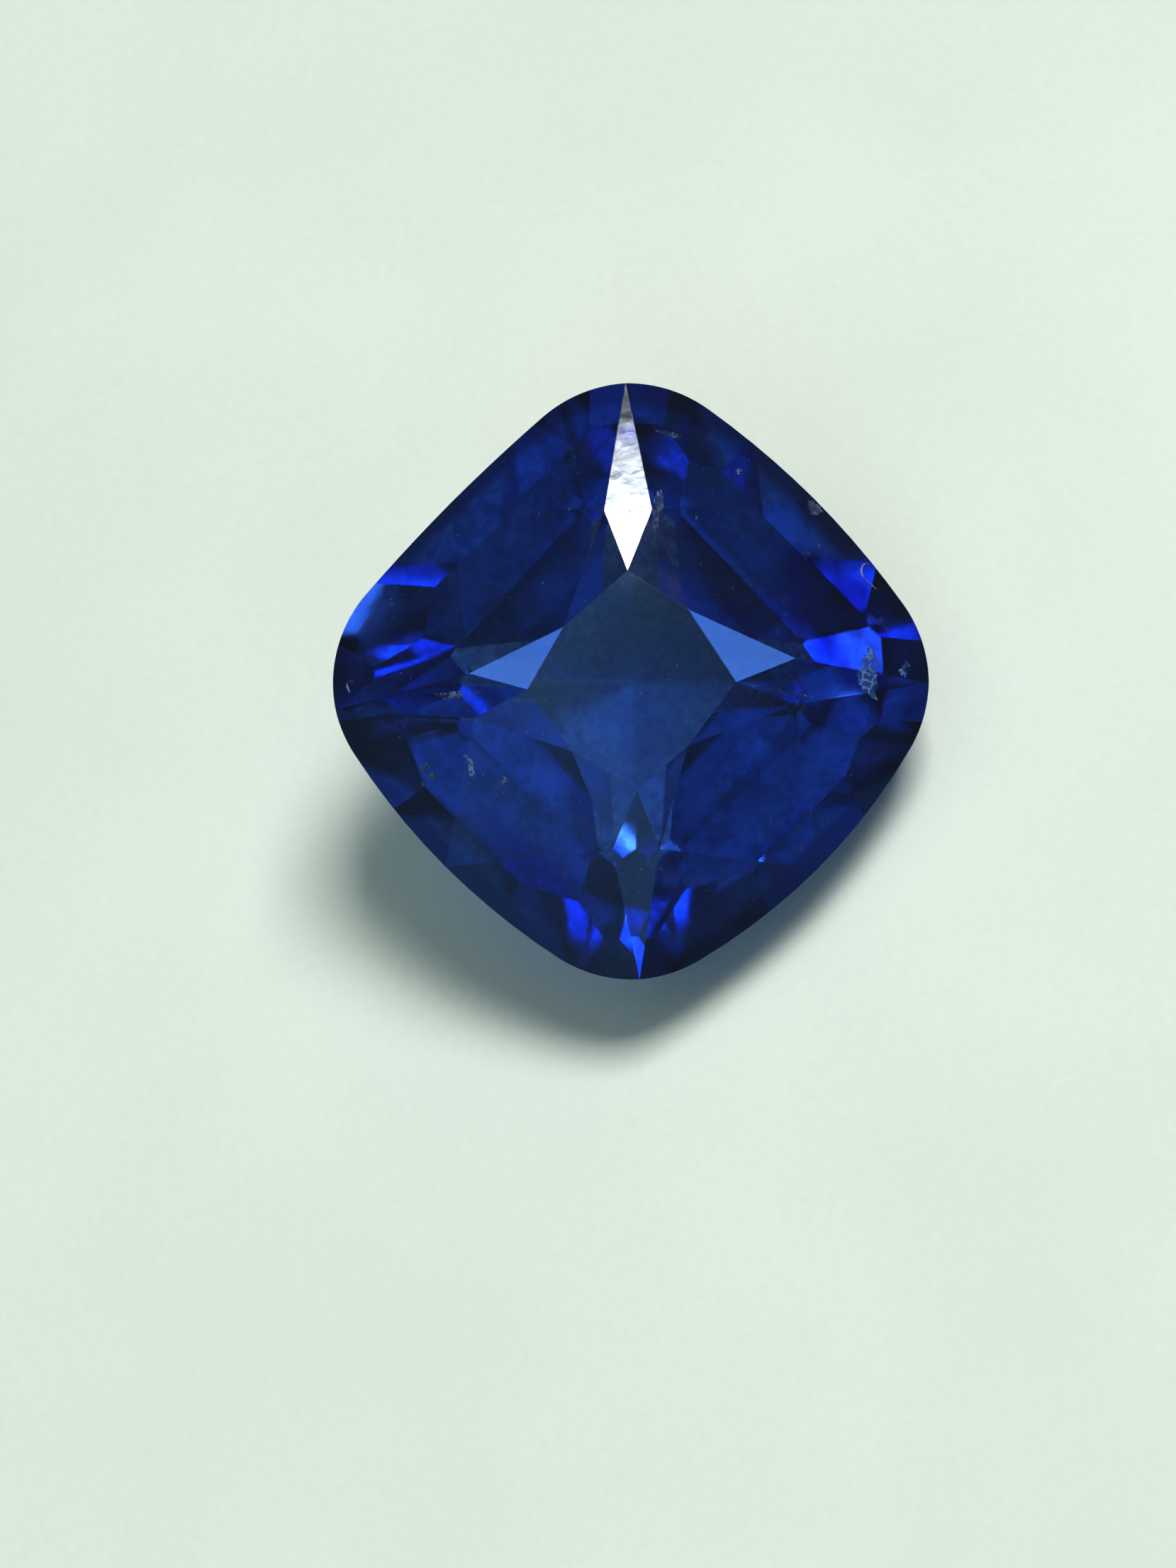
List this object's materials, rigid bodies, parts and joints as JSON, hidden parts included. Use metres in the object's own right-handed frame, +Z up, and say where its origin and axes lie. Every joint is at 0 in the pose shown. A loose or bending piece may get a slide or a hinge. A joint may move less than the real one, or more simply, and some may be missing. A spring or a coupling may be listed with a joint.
{
  "type": "cushion cut blue sapphire",
  "caption": "Faceted cushion cut gemstone, a rounded square in outline, lying tipped on a pavilion facet.",
  "frame": {"origin": "on the surface that the stone lies on, under the middle of its box", "axes": "+Z up; +X along the side that faces it; the stone is tipped 28 degrees towards -Y, so its table looks up and towards -Y"},
  "size_m": [0.01, 0.009, 0.0064],
  "materials": {
    "sapphire": "polished, deep blue, see-through"
  },
  "bodies": {
    "root": {"sapphire": "sapphire"}
  },
  "joints": []
}
